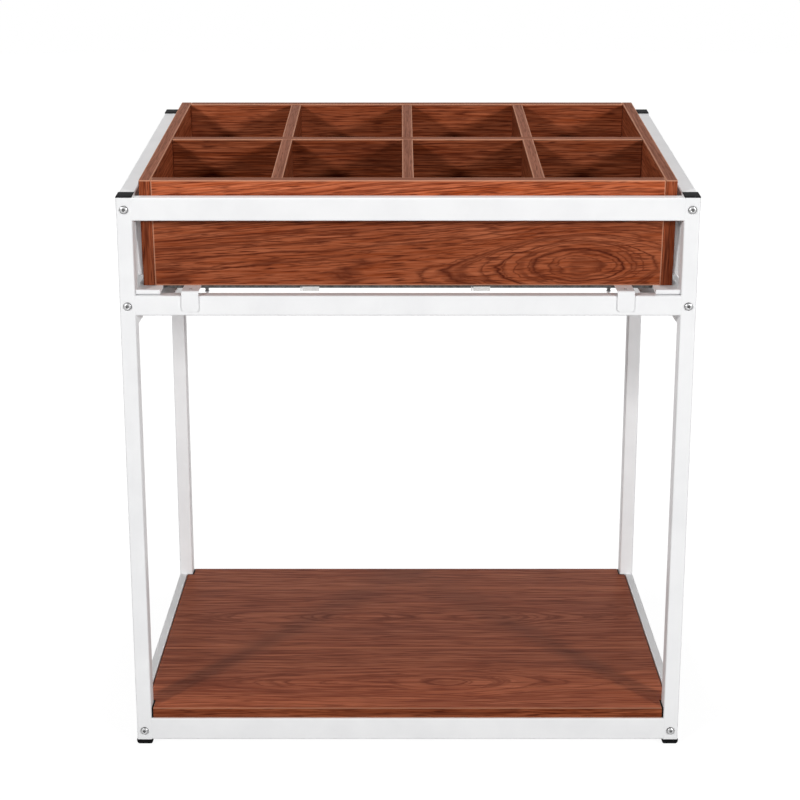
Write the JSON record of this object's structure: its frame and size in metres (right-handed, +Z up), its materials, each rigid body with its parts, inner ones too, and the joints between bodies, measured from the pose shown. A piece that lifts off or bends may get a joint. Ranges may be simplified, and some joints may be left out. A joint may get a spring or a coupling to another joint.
{
  "type": "display rack",
  "caption": "Steel tube display stand with a lower wood-grain shelf and a sloping, divided lift-out tray on top.",
  "frame": {"origin": "on the floor under the middle of the stand", "axes": "+X to the right seen from the front, +Y from front to rear, +Z up"},
  "size_m": [0.9, 0.6468, 0.9987],
  "materials": {
    "white_coat": "satin",
    "walnut_laminate": "satin",
    "black_plastic": "matte",
    "bright_steel": "bright"
  },
  "bodies": {
    "stand": {"bolt_bottom_front_left": "bright_steel", "bolt_bottom_front_right": "bright_steel", "bolt_bottom_rear_left": "bright_steel", "bolt_bottom_rear_right": "bright_steel", "bolt_mid_front_left": "bright_steel", "bolt_mid_front_right": "bright_steel", "bolt_mid_rear_left": "bright_steel", "bolt_mid_rear_right": "bright_steel", "bolt_top_front_left": "bright_steel", "bolt_top_front_right": "bright_steel", "bolt_top_rear_left": "bright_steel", "bolt_top_rear_right": "bright_steel", "bottom_rail_front": "white_coat", "bottom_rail_left": "white_coat", "bottom_rail_rear": "white_coat", "bottom_rail_right": "white_coat", "cap_front_left": "black_plastic", "cap_front_right": "black_plastic", "cap_rear_left": "black_plastic", "cap_rear_right": "black_plastic", "foot_front_left": "black_plastic", "foot_front_right": "black_plastic", "foot_rear_left": "black_plastic", "foot_rear_right": "black_plastic", "hook_left": "white_coat", "hook_right": "white_coat", "hook_screw_left": "bright_steel", "hook_screw_right": "bright_steel", "ledge": "bright_steel", "ledge_clip_left": "bright_steel", "ledge_clip_right": "bright_steel", "ledge_stud_left": "bright_steel", "ledge_stud_right": "bright_steel", "leg_front_left": "white_coat", "leg_front_right": "white_coat", "leg_rear_left": "white_coat", "leg_rear_right": "white_coat", "mid_rail_front": "white_coat", "mid_rail_left": "white_coat", "mid_rail_rear": "white_coat", "mid_rail_right": "white_coat", "runner_left": "white_coat", "runner_right": "white_coat", "shelf": "walnut_laminate", "side_guard_left": "white_coat", "side_guard_right": "white_coat", "top_rail_front": "white_coat", "top_rail_left": "white_coat", "top_rail_rear": "white_coat", "top_rail_right": "white_coat"},
    "tray": {"tray_back": "walnut_laminate", "tray_bottom": "walnut_laminate", "tray_front": "walnut_laminate", "tray_left": "walnut_laminate", "tray_right": "walnut_laminate"},
    "dividers": {"divider_long": "walnut_laminate", "divider_short_1": "walnut_laminate", "divider_short_2": "walnut_laminate", "divider_short_3": "walnut_laminate"}
  },
  "joints": [
    {"name": "tray_lift", "type": "slide", "parent": "stand", "child": "tray", "axis": [0, -0.0958, 0.9954], "range_m": [0, 0.25]},
    {"name": "divider_lift", "type": "slide", "parent": "tray", "child": "dividers", "axis": [0, -0.0958, 0.9954], "range_m": [0, 0.17]}
  ]
}
